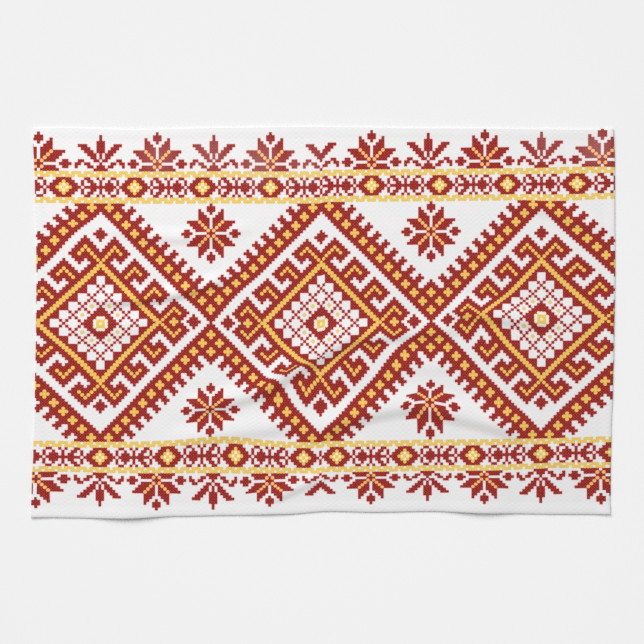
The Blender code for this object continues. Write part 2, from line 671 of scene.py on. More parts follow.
@dataclass(frozen=True)
class FlowerBorder:
    """The outermost border: half stars and ears of wheat in turn."""

    star_row: int = 55
    wheat_row: int = 52
    step: int = 40
    first_star: int = 18
    first_wheat: int = 38
    star: LeafStar = LeafStar()

    # The rib's square this far down and out from a half star's middle is red
    root: int = 2

    # Each half of the ear in the towel's middle lacks so many of its inner columns
    missing: int = 2

    # Columns out from an ear's middle that are red, by rows above its foot
    wheat = {
        12: (0,),
        11: (0,),
        10: (0, 1),
        9: (0, 1, 5, 6, 7),
        8: (0, 1, 4, 5, 6),
        7: (0, 1, 3, 4, 5),
        6: (0, 2, 3, 4),
        5: (0, 2, 3),
        4: (1, 2, 6, 7),
        3: (0, 4, 5, 7, 8),
        2: (0, 1, 3, 4, 8),
        1: (0, 1, 2),
    }

    def stitch(self, column: int, row: int) -> Stitch:
        """Reads the border's chart.

        Args:
            column: columns from the towel's middle.
            row: rows from the towel's middle.

        Returns:
            What the square holds.
        """
        column = abs(column)
        row = abs(row)
        past_star = column - self.first_star
        across = past_star - self.step * round(past_star / self.step)
        if abs(across) <= self.star.reach:
            found = self.star.stitch(across, row - self.star_row)
            if row == self.star_row - self.root and abs(across) == self.root:
                found = Stitch.RED
            if found is not Stitch.BARE:
                return found
        ear = self.wheat.get(row - self.wheat_row, ())
        past_ear = column - self.first_wheat
        count = round(past_ear / self.step)
        in_ear = count >= 0 and abs(past_ear - self.step * count) in ear
        return Stitch.RED if in_ear or column + self.missing in ear else Stitch.BARE


@dataclass(frozen=True)
class TowelChart:
    """The whole chart, with each motif in its rows. Rows below the middle mirror those above."""

    last_row: int = 67
    diamonds: DiamondField = DiamondField()
    band: RosetteBand = RosetteBand()
    border: FlowerBorder = FlowerBorder()
    braid_rows: tuple[int, ...] = (42, 43, 51, 52)
    braid_step: int = 4

    def stitch(self, column: int, row: int) -> Stitch:
        """Reads the whole chart.

        Args:
            column: columns from the towel's middle.
            row: rows from the towel's middle.

        Returns:
            What the square holds.
        """
        level = abs(row)
        if level > self.last_row:
            return Stitch.BARE
        if level <= self.diamonds.top_row:
            return self.diamonds.stitch(column, row)
        if level in self.braid_rows:
            outer = level in (self.braid_rows[0], self.braid_rows[-1])
            gap = (column + (0 if outer else self.braid_step // 2)) % self.braid_step == 0
            return Stitch.BARE if gap else Stitch.LEMON
        up = level - self.band.middle_row
        if abs(up) <= self.band.half_rows:
            return self.band.stitch(column, up, upper=row > 0)
        return self.border.stitch(column, row)


@dataclass(frozen=True)
class Pitch:
    """How far apart the squares of the print stand along one side of the cloth."""

    middle: float
    below: float
    above: float
    outer_from_below: float
    outer_from_above: float
    outer_below: float
    outer_above: float

    def place(self, index: np.ndarray) -> np.ndarray:
        """Finds where columns or rows stand on the cloth.

        Args:
            index: columns or rows from the chart's middle, whole or not.

        Returns:
            The place of each, in millimetres.
        """
        inner = np.clip(index, -self.outer_from_below, self.outer_from_above)
        outer = index - inner
        near = np.where(index < 0.0, self.below, self.above)
        far = np.where(index < 0.0, self.outer_below, self.outer_above)
        return self.middle + inner * near + outer * far


@dataclass(frozen=True)
class Drift:
    """How far up the print stands off its even rows, at a place along the towel."""

    along: float
    top: float
    middle: float
    bottom: float
    hem: float


@dataclass(frozen=True)
class Fade:
    """A patch where the ink is a little paler. Places and reach are in millimetres."""

    x: float
    y: float
    reach: float
    share: float


@dataclass(frozen=True)
class PrintLayout:
    """Where each square of the chart comes to lie, as the cloth was printed and then dragged."""

    columns: Pitch = Pitch(-1.9, 2.952, 2.955, 80, 85, 3.28, 3.30)
    rows: Pitch = Pitch(-1.7, 2.965, 3.03, 53, 53, 2.96, 3.17)
    drifts: tuple[Drift, ...] = (
        Drift(-290, 0.9, 1.2, 1.2, 2.0),
        Drift(-240, 0.4, 0.3, 0.1, 1.0),
        Drift(-170, 0.1, 0.4, 0.2, -0.2),
        Drift(-105, 0.4, 0.8, 0.5, -2.6),
        Drift(-57, 0.2, 0.9, 0.2, 3.8),
        Drift(-34, 0.2, 0.9, -0.3, 3.6),
        Drift(16, 0.4, 0.3, -0.7, 3.8),
        Drift(66, 0.8, 0.8, -0.2, 4.8),
        Drift(116, 1.1, 1.4, 0.7, 5.1),
        Drift(166, 1.7, 2.2, 1.0, 5.2),
        Drift(216, 2.2, 2.9, 2.2, 2.8),
        Drift(266, 2.6, 3.4, 3.3, 3.6),
        Drift(295, 3.3, 4.2, 4.2, 4.5),
    )
    pulls: tuple[Pull, ...] = (
        Pull("left of the left diamond", -249, -38, 0, 105, 30, -0.2, 1.9),
        Pull("shoulder of the left fold", -144, 0, 35, 85, 30, -0.5, 2.2),
        Pull("under the shoulder", -186, -10, 0, 35, 28, 0.0, 1.2),
        Pull("below the left fold", -178, -34, 0, 85, 38, -0.4, 1.2),
        Pull("foot of the left fold", -183, -65, 0, 50, 26, 0.0, 1.8),
        Pull("head of the left fold", -97, 27, 16, 50, 30, -0.5, 3.0),
        Pull("above the crease", -52, -24, 25, 45, 24, 0.3, -3.1),
        Pull("above the crease, right", -18, -24, 25, 34, 20, 0.3, -0.9),
        Pull("over the crease, right", 16, 4, 0, 62, 22, 0.0, -1.0),
        Pull("left of the crease", -113, -62, 0, 35, 20, 0.0, -1.4),
        Pull("crease, squashed", -32, -68, 12, 44, 24, -1.2, 12.0),
        Pull("crease, foot", -66, -80, 10, 36, 20, 0.0, 3.6),
        Pull("crease, bent line", -14, -50, 20, 26, 20, 0.0, 4.5),
        Pull("under the squashed crease", -8, -88, 15, 30, 14, -0.4, 1.6),
        Pull("crease, middle", 12, -56, 28, 45, 27, -0.6, 5.6),
        Pull("crease, right", 66, -35, 8, 72, 28, -1.1, 5.8),
        Pull("right of the crease", 135, -36, 0, 46, 30, -0.2, 2.4),
        Pull("between the right diamonds", 174, -2, 12, 72, 30, -1.4, 6.0),
        Pull("under the right fold", 190, -12, 0, 50, 24, -0.7, 2.4),
        Pull("over the right fold", 206, 38, 0, 40, 20, -0.3, -0.7),
        Pull("left star", -106, -108, -8, 62, 34, -0.4, 4.2),
        Pull("under the left star", -110, -128, 0, 95, 26, 0.0, 3.2),
        Pull("right star", 107, -88, 4, 42, 25, -0.8, 6.5),
        Pull("under the right star", 104, -103, 0, 64, 24, -0.6, 4.2),
        Pull("beside the right star", 135, -86, 0, 28, 24, 0.0, 1.6),
        Pull("right of the right star", 185, -94, 0, 32, 23, 0.2, -3.2),
        Pull("above the right braid", 240, -116, 0, 55, 18, 0.0, -0.8),
        Pull("under the crease", 28, -102, 0, 40, 26, 0.4, -2.4),
        Pull("pinch at the left", -249, 88, 0, 60, 26, -0.4, 3.2),
        Pull("left edge, high up", -288, 96, 0, 40, 32, 0.0, 0.8),
        Pull("left of the middle diamond", -112, 66, 0, 45, 60, 0.0, 0.6),
        Pull("dimple at the left", -166, 96, 0, 30, 22, 0.2, -1.8),
        Pull("top of the middle", 0, 94, 0, 115, 28, 0.0, -1.1),
        Pull("top of the right diamond", 243, 122, 0, 42, 16, 0.0, -1.2),
        Pull("top right corner", 262, 160, 0, 50, 14, 0.0, 1.0),
        Pull("left edge", -290, 55, 0, 26, 80, 1.0, 0.0),
        Pull("right edge", 282, 66, 0, 26, 75, 1.0, 0.0),
        Pull("bottom left corner", -294, -180, 0, 42, 42, -2.8, 0.0),
        Pull("bottom right corner", 288, -150, 0, 34, 80, -1.2, 0.0),
        Pull("bottom left braid", -258, -158, 0, 60, 15, 0.0, 1.0),
        Pull("bottom right braid", 243, -158, 0, 55, 14, 0.0, 1.3),
        Pull("bottom, by the diagonal", -70, -170, 0, 56, 18, 0.0, -2.8),
    )
    fades: tuple[Fade, ...] = (
        Fade(-172, 172, 34, 0.07),
        Fade(-118, 176, 34, 0.07),
        Fade(-67, 167, 38, 0.09),
        Fade(-20, 167, 34, 0.07),
        Fade(231, 190, 30, 0.06),
        Fade(284, 182, 30, 0.10),
    )
    half_rise: float = 150.0
    hem_rise: float = 190.0

    # The print's two halves meet in the middle a little close and out of step
    seam_close: float = 0.7
    seam_step: float = 1.6
    lean: float = -0.8

    def place(self, column: np.ndarray, row: np.ndarray) -> tuple[np.ndarray, np.ndarray]:
        """Plan positions of places on the chart.

        Args:
            column: columns from the chart's middle, whole or not.
            row: rows up from the chart's middle, whole or not.

        Returns:
            The plan x and y of each, in metres.
        """
        past_seam = np.clip(column, 0.0, 1.0)
        x = self.columns.place(column) - self.seam_close * past_seam
        y = self.rows.place(row)
        shift_x = self.lean * smooth_step(-y / self.half_rise)
        shift_y = self.drift(x, y) + self.seam_step * past_seam
        for pull in self.pulls:
            strength = pull.strength(x, y)
            shift_x = shift_x + pull.shift_x * strength
            shift_y = shift_y + pull.shift_y * strength
        return (x + shift_x) * MM, (y + shift_y) * MM

    def fading(self, x: np.ndarray, y: np.ndarray) -> np.ndarray:
        """How much paler the ink is.

        Args:
            x: plan positions along the long side, in metres.
            y: plan positions along the short side, in metres.

        Returns:
            One share for each position, from 0 to 1.
        """
        pale = np.zeros_like(x)
        for fade in self.fades:
            away = np.hypot(x / MM - fade.x, y / MM - fade.y)
            pale = np.maximum(pale, fade.share * bell(away / fade.reach))
        return pale

    def drift(self, x: np.ndarray, y: np.ndarray) -> np.ndarray:
        """The drift, eased between the table's places and its four levels.

        Args:
            x: plan positions along the long side, in millimetres.
            y: plan positions along the short side, in millimetres.

        Returns:
            One drift for each position, in millimetres.
        """
        places = [drift.along for drift in self.drifts]
        top, middle, bottom, hem = (
            eased(places, [getattr(drift, level) for drift in self.drifts], x)
            for level in ("top", "middle", "bottom", "hem")
        )
        upward = smooth_step(y / self.half_rise)
        downward = smooth_step(-y / self.half_rise)
        at_hem = smooth_step((-y - self.half_rise) / (self.hem_rise - self.half_rise))
        shifts = (top - middle) * upward, (bottom - middle) * downward, (hem - bottom) * at_hem
        return middle + shifts[0] + shifts[1] + shifts[2]


# Finishes


def shade(colour: Colour, share: float) -> Colour:
    """A colour with its three parts multiplied by a share."""
    return (colour[0] * share, colour[1] * share, colour[2] * share, 1.0)


class NodeSketch:
    """Builds a material's nodes and links with short calls."""

    # Places of a Mix node's colour sockets, whose names also stand for its other kinds
    MIX_FIRST = 6
    MIX_SECOND = 7
    MIX_RESULT = 2

    def __init__(self, name: str) -> None:
        """Starts a material with an empty Principled shader.

        Args:
            name: the material's name.
        """
        self.material = bpy.data.materials.new(name)
        self.material.use_nodes = True
        self.tree = self.material.node_tree
        self.shader = self.tree.nodes["Principled BSDF"]

    def node(self, kind: str, **settings: object) -> bpy.types.Node:
        """Adds a node and sets its properties.

        Args:
            kind: the node's Blender type name.
            **settings: properties to set on it.

        Returns:
            The new node.
        """
        made = self.tree.nodes.new(kind)
        for name, value in settings.items():
            setattr(made, name, value)
        return made

    def feed(self, socket: bpy.types.NodeSocket, value: object) -> None:
        """Links an output to a socket, or sets the socket to a plain value.

        Args:
            socket: the input.
            value: an output, a number, a vector or a colour.
        """
        if isinstance(value, bpy.types.NodeSocket):
            self.tree.links.new(value, socket)
        else:
            socket.default_value = value

    def math(self, operation: str, *values: object) -> bpy.types.NodeSocket:
        """One Math node.

        Args:
            operation: the node's operation.
            *values: its inputs, each a number or an output.

        Returns:
            The node's output.
        """
        made = self.node("ShaderNodeMath", operation=operation)
        for socket, value in zip(made.inputs, values):
            self.feed(socket, value)
        return made.outputs["Value"]

    def times(self, first: object, *others: object) -> bpy.types.NodeSocket:
        """The product of two or more values.

        Args:
            first: a number or an output.
            *others: more of them.

        Returns:
            The product's output.
        """
        for other in others:
            first = self.math("MULTIPLY", first, other)
        return first

    def is_stitch(self, kind: object, stitch: Stitch) -> bpy.types.NodeSocket:
        """1 where a stitch's number is this stitch's, and 0 elsewhere."""
        return self.math("COMPARE", kind, float(stitch), 0.5)

    def ramp(self, value: object, low: float, high: float) -> bpy.types.NodeSocket:
        """A smooth step of a value.

        Args:
            value: a number or an output.
            low: the value that gives 0.
            high: the value that gives 1, above low or below it.

        Returns:
            The step's output.
        """
        made = self.node("ShaderNodeMapRange", interpolation_type="SMOOTHSTEP")
        self.feed(made.inputs["Value"], value)
        turned = low > high
        made.inputs["From Min"].default_value = min(low, high)
        made.inputs["From Max"].default_value = max(low, high)
        made.inputs["To Min"].default_value = 1.0 if turned else 0.0
        made.inputs["To Max"].default_value = 0.0 if turned else 1.0
        return made.outputs["Result"]

    def mix(self, share: object, first: object, second: object) -> bpy.types.NodeSocket:
        """Mixes two colours.

        Args:
            share: how much of the second, a number or an output.
            first: a colour or an output.
            second: a colour or an output.

        Returns:
            The mixed colour's output.
        """
        made = self.node("ShaderNodeMix", data_type="RGBA")
        self.feed(made.inputs["Factor"], share)
        self.feed(made.inputs[self.MIX_FIRST], first)
        self.feed(made.inputs[self.MIX_SECOND], second)
        return made.outputs[self.MIX_RESULT]

    def attribute(self, name: str) -> bpy.types.NodeSocket:
        """The value of a mesh attribute."""
        return self.node("ShaderNodeAttribute", attribute_name=name).outputs["Fac"]

    def uv(self, name: str) -> bpy.types.NodeSocket:
        """A UV map's coordinates."""
        return self.node("ShaderNodeUVMap", uv_map=name).outputs["UV"]

    def split(self, vector: object) -> tuple[bpy.types.NodeSocket, bpy.types.NodeSocket]:
        """The first two parts of a vector.

        Args:
            vector: the vector's output.

        Returns:
            The outputs of its x and y.
        """
        made = self.node("ShaderNodeSeparateXYZ")
        self.feed(made.inputs[0], vector)
        return made.outputs["X"], made.outputs["Y"]

    def noise(self, scale: float, detail: float, vector: object) -> bpy.types.NodeSocket:
        """Soft noise.

        Args:
            scale: how many waves it has to a metre.
            detail: how many finer layers it has.
            vector: the place's output, in metres.

        Returns:
            The noise's output, from 0 to 1.
        """
        made = self.node("ShaderNodeTexNoise")
        self.feed(made.inputs["Vector"], vector)
        made.inputs["Scale"].default_value = scale
        made.inputs["Detail"].default_value = detail
        return made.outputs["Fac"]

    def bump(self, height: object, distance: float, strength: float) -> bpy.types.NodeSocket:
        """The normal of a bumped surface.

        Args:
            height: the height's output, from 0 to 1.
            distance: how much a height of 1 is, in metres.
            strength: from 0 to 1.

        Returns:
            The normal's output.
        """
        made = self.node("ShaderNodeBump")
        made.inputs["Distance"].default_value = distance
        made.inputs["Strength"].default_value = strength
        self.feed(made.inputs["Height"], height)
        return made.outputs["Normal"]


# The UV map "stitches" holds squares of the chart, so many of them to its whole side. The weave
# takes a square for this wide
STITCH_MAP_SPAN = 256.0
STITCH_SIZE = 0.00295


@dataclass(frozen=True)
class PrintedWaffleCotton:
    """White waffle-weave cotton with the cross stitches printed on its face."""

    cotton: Colour = (0.806, 0.801, 0.800, 1.0)
    red: Colour = (0.325, 0.021, 0.017, 1.0)
    red_shade: Colour = (0.105, 0.004, 0.005, 1.0)
    red_gap: Colour = (0.86, 0.42, 0.40, 1.0)
    red_bleed: Colour = (0.88, 0.52, 0.51, 1.0)
    orange_tip: Colour = (0.92, 0.44, 0.20, 1.0)
    beads: dict[Stitch, Colour] = field(
        default_factory=lambda: {
            Stitch.YELLOW: (0.81, 0.545, 0.135, 1.0),
            Stitch.PALE: (0.88, 0.79, 0.46, 1.0),
            Stitch.LEMON: (0.785, 0.57, 0.148, 1.0),
            Stitch.CREAM: (0.84, 0.78, 0.68, 1.0),
            Stitch.AMBER: (0.86, 0.50, 0.20, 1.0),
            Stitch.EYE: (0.76, 0.60, 0.21, 1.0),
        }
    )
    roughness: float = 0.92
    sheen: float = 0.02
    gloss: float = 0.08

    # The weave: its relief in metres, the painted shade in its hollows, its yarn's share of the
    # relief, and its faint warm patches
    waffle_depth: float = 0.00005
    hollow_painted_shade: float = 0.935
    yarn: float = 0.25
    yarn_scale: float = 2600.0
    warmth: Colour = (0.99, 0.98, 0.975, 1.0)
    patch_scale: float = 70.0
    patch_range: tuple[float, float] = (0.3, 0.8)

    # Sizes within a square of the print, whose side is 1
    arm: float = 0.292
    arm_overrun: float = 0.36
    arm_edge: float = 0.03
    overrun_edge: float = 0.02
    bead: float = 0.64
    bead_edge: float = 0.03
    halo: float = 1.15
    halo_core: float = 0.4

    # The ink: where an arm starts to darken, how strongly it spreads, its orange tips, its wear
    shade_from: float = 0.35
    bleed: float = 0.85
    tip: float = 0.42
    wear: float = 0.05
    wear_scale: float = 900.0
    wear_range: tuple[float, float] = (0.55, 0.85)

    # A bead's colour deepens by this gamma from the first of these distances to the second
    bead_depth: float = 1.25
    bead_range: tuple[float, float] = (0.2, 0.6)

    def build(self) -> bpy.types.Material:
        """Makes the material.

        Returns:
            The material, for the printed sheet.
        """
        sketch = NodeSketch("printed waffle cotton")
        scaled = sketch.node("ShaderNodeVectorMath", operation="SCALE")
        sketch.feed(scaled.inputs[0], sketch.uv("stitches"))
        scaled.inputs["Scale"].default_value = STITCH_MAP_SPAN
        column, row = sketch.split(scaled.outputs["Vector"])
        aside = self.off_middle(sketch, column)
        above = self.off_middle(sketch, row)
        far = sketch.math("MAXIMUM", aside, above)
        near = sketch.math("MINIMUM", aside, above)
        beyond = sketch.math("SUBTRACT", 1.0, far)

        own = sketch.attribute("stitch")
        other = sketch.attribute("next_stitch")
        first_bead = float(Stitch.YELLOW) - 0.5
        own_red = sketch.is_stitch(own, Stitch.RED)
        own_bare = sketch.is_stitch(own, Stitch.BARE)
        own_bead = sketch.math("GREATER_THAN", own, first_bead)
        other_red = sketch.is_stitch(other, Stitch.RED)
        other_bead = sketch.math("GREATER_THAN", other, first_bead)

        # How far a point is from the middle line of the nearest arm, in its own square and the next
        own_off = sketch.math("SUBTRACT", far, near)
        other_off = sketch.math("SUBTRACT", beyond, near)
        wide = self.arm * math.sqrt(2.0)
        own_arm = sketch.ramp(own_off, wide + self.arm_edge, wide - self.arm_edge)
        end = 0.5 + self.arm_overrun
        in_reach = sketch.ramp(beyond, end + self.overrun_edge, end - self.overrun_edge)
        other_arm = sketch.ramp(other_off, wide + self.arm_edge, wide - self.arm_edge)
        other_arm = sketch.times(other_arm, in_reach)

        weave = sketch.node("ShaderNodeVectorMath", operation="SCALE")
        sketch.feed(weave.inputs[0], sketch.uv("stitches"))
        weave.inputs["Scale"].default_value = STITCH_MAP_SPAN * STITCH_SIZE
        place = weave.outputs["Vector"]
        waffle = self.waffle_height(sketch, place)
        # The bare cotton, with painted shade in the waffle's hollows
        cloth = self.cotton_with_painted_shade(sketch, place, waffle)

        # Red crosses, dark at the sides of each arm and pink in the gaps between them
        shaded = sketch.ramp(own_off, wide * self.shade_from, wide)
        red = sketch.mix(shaded, self.red, self.red_shade)
        gap = sketch.mix(sketch.times(own_red, other_red), cloth, self.red_gap)
        crossed = sketch.mix(own_arm, gap, red)
        colour = sketch.mix(own_red, cloth, crossed)
        colour = sketch.mix(sketch.times(own_bead, other_red), colour, self.red_shade)
        spilled = sketch.times(own_bare, other_red, other_arm)
        colour = sketch.mix(spilled, colour, self.red_shade)
        blush = sketch.times(sketch.ramp(beyond, 1.0, 0.5), self.bleed)
        blush = sketch.times(own_bare, other_red, blush)
        colour = sketch.mix(blush, colour, self.red_bleed)

        # Yellow beads, a little wider than their square
        own_ray = self.hypotenuse(sketch, far, near)
        own_round = sketch.times(own_bead, self.bead_cover(sketch, own, own_ray))
        tip = sketch.times(other_red, sketch.ramp(far, 0.0, 0.5), self.tip)
        bead = sketch.mix(tip, self.bead_colour(sketch, own, own_ray), self.orange_tip)
        colour = sketch.mix(own_round, colour, bead)
        other_ray = self.hypotenuse(sketch, beyond, near)
        spill = sketch.times(other_bead, self.bead_cover(sketch, other, other_ray))
        spill = sketch.times(spill, sketch.math("SUBTRACT", 1.0, own_bead))
        colour = sketch.mix(spill, colour, self.bead_colour(sketch, other, other_ray))

        # Ink sinks in unevenly, and only a ghost of it shows on the back
        uneven = sketch.noise(self.wear_scale, 2.0, place)
        faded = sketch.times(sketch.ramp(uneven, *self.wear_range), self.wear)
        faded = sketch.math("MAXIMUM", faded, sketch.attribute("fade"))
        colour = sketch.mix(faded, colour, cloth)
        colour = sketch.mix(sketch.attribute("ink"), cloth, colour)
        sketch.feed(sketch.shader.inputs["Base Color"], colour)

        sketch.shader.inputs["Roughness"].default_value = self.roughness
        sketch.shader.inputs["Sheen Weight"].default_value = self.sheen
        sketch.shader.inputs["Specular IOR Level"].default_value = self.gloss
        yarn = sketch.times(sketch.noise(self.yarn_scale, 2.0, place), self.yarn)
        height = sketch.math("ADD", waffle, yarn)
        sketch.feed(sketch.shader.inputs["Normal"], sketch.bump(height, self.waffle_depth, 1.0))
        return sketch.material

    @staticmethod
    def off_middle(sketch: NodeSketch, place: object) -> bpy.types.NodeSocket:
        """How far a place is from the middle line of its square, whose side is 1."""
        return sketch.math("ABSOLUTE", sketch.math("SUBTRACT", sketch.math("FRACT", place), 0.5))

    @staticmethod
    def hypotenuse(sketch: NodeSketch, first: object, second: object) -> bpy.types.NodeSocket:
        """Length of a step of first one way and second the other."""
        squares = [sketch.math("POWER", side, 2.0) for side in (first, second)]
        return sketch.math("SQRT", sketch.math("ADD", *squares))

    def bead_cover(self, sketch: NodeSketch, kind: object, ray: object) -> bpy.types.NodeSocket:
        """How fully a bead covers the cloth at a distance from its middle.

        Args:
            sketch: the material in the making.
            kind: the stitch's number.
            ray: distance from the bead's middle, in squares.

        Returns:
            The cover's output, from 0 to 1.
        """
        round_edge = sketch.ramp(ray, self.bead + self.bead_edge, self.bead - self.bead_edge)
        soft_edge = sketch.ramp(ray, self.halo, self.halo_core)
        is_eye = sketch.is_stitch(kind, Stitch.EYE)
        kept = sketch.times(round_edge, sketch.math("SUBTRACT", 1.0, is_eye))
        return sketch.math("MULTIPLY_ADD", soft_edge, is_eye, kept)

    def bead_colour(self, sketch: NodeSketch, kind: object, ray: object) -> bpy.types.NodeSocket:
        """A bead's colour, a little deeper toward its rim.

        Args:
            sketch: the material in the making.
            kind: the stitch's number.
            ray: distance from the bead's middle, in squares.

        Returns:
            The colour's output.
        """
        tone = self.beads[Stitch.YELLOW]
        for stitch in (Stitch.PALE, Stitch.LEMON, Stitch.CREAM, Stitch.AMBER, Stitch.EYE):
            tone = sketch.mix(sketch.is_stitch(kind, stitch), tone, self.beads[stitch])
        deep = sketch.node("ShaderNodeGamma")
        sketch.feed(deep.inputs["Color"], tone)
        deep.inputs["Gamma"].default_value = self.bead_depth
        return sketch.mix(sketch.ramp(ray, *self.bead_range), tone, deep.outputs["Color"])

    def waffle_height(self, sketch: NodeSketch, place: object) -> bpy.types.NodeSocket:
        """Height of the waffle's ridges.

        Args:
            sketch: the material in the making.
            place: the place's output, in metres.

        Returns:
            The height's output, from 0 in a cell's middle to 1 on its rim.
        """
        x, y = sketch.split(place)
        wave_x = sketch.math("COSINE", sketch.times(x, 2.0 * math.pi / CELL_WIDE))
        wave_y = sketch.math("COSINE", sketch.times(y, 2.0 * math.pi / CELL_HIGH))
        staggered = sketch.times(wave_y, sketch.math("ADD", wave_x, ROW_SHARE))
        return sketch.math("MULTIPLY_ADD", staggered, 0.5 / (1.0 + ROW_SHARE), 0.5)

    def cotton_with_painted_shade(
        self, sketch: NodeSketch, place: object, waffle: object
    ) -> bpy.types.NodeSocket:
        """The cotton's colour, with painted shade that greys it down in the waffle's cells.

        Args:
            sketch: the material in the making.
            place: the place's output, in metres.
            waffle: the output of the waffle's height.

        Returns:
            The colour's output.
        """
        # Painted shade: the waffle's hollows get a darker copy of the cotton
        dark = shade(self.cotton, self.hollow_painted_shade)
        cloth = sketch.mix(sketch.ramp(waffle, 0.0, 1.0), dark, self.cotton)
        patchy = sketch.noise(self.patch_scale, 3.0, place)
        warm = tuple(part * share for part, share in zip(self.cotton, self.warmth))
        return sketch.mix(sketch.ramp(patchy, *self.patch_range), cloth, warm)


@dataclass(frozen=True)
class SewingThread:
    """White twisted thread, with painted shade in the furrows of its twist."""

    colour: Colour = (0.82, 0.82, 0.80, 1.0)
    roughness: float = 0.7
    twist: float = 0.0006
    # How dark the painted shade in the twist's furrows is
    furrow_painted_shade: float = 0.85
    furrow_depth: float = 0.00005
    furrow_strength: float = 0.6

    def build(self) -> bpy.types.Material:
        """Makes the material.

        Returns:
            The material, for the hem's stitches.
        """
        sketch = NodeSketch("white sewing thread")
        place = sketch.node("ShaderNodeTexCoord").outputs["Object"]
        x, y = sketch.split(place)
        along = sketch.math("ADD", x, y)
        wave = sketch.math("SINE", sketch.times(along, 2.0 * math.pi / self.twist))
        # Painted shade: the twist's furrows get a darker copy of the thread's white
        dark = shade(self.colour, self.furrow_painted_shade)
        colour = sketch.mix(sketch.ramp(wave, -1.0, 1.0), dark, self.colour)
        sketch.feed(sketch.shader.inputs["Base Color"], colour)
        sketch.shader.inputs["Roughness"].default_value = self.roughness
        normal = sketch.bump(wave, self.furrow_depth, self.furrow_strength)
        sketch.feed(sketch.shader.inputs["Normal"], normal)
        return sketch.material


@dataclass(frozen=True)
class PaleTable:
    """The smooth pale surface under the towel.

    It is a little paler away from the light, so that it looks even all round the towel.
    """

    colour: Colour = (0.838, 0.838, 0.838, 1.0)
    paler_by_x: float = 0.155
    paler_by_y: float = -0.295
    most: float = 0.16
    roughness: float = 0.9
    gloss: float = 0.1

    def build(self) -> bpy.types.Material:
        """Makes the material.

        Returns:
            The material, for the table.
        """
        sketch = NodeSketch("pale table")
        place = sketch.node("ShaderNodeTexCoord").outputs["Object"]
        x, y = sketch.split(place)
        paler = sketch.math("MULTIPLY_ADD", x, self.paler_by_x, sketch.times(y, self.paler_by_y))
        paler = sketch.math("MINIMUM", sketch.math("MAXIMUM", paler, -self.most), self.most)
        share = sketch.math("MULTIPLY_ADD", paler, 0.5 / self.most, 0.5)
        dark = shade(self.colour, 1.0 - self.most)
        light = shade(self.colour, 1.0 + self.most)
        sketch.feed(sketch.shader.inputs["Base Color"], sketch.mix(share, dark, light))
        sketch.shader.inputs["Roughness"].default_value = self.roughness
        sketch.shader.inputs["Specular IOR Level"].default_value = self.gloss
        return sketch.material


# The towel


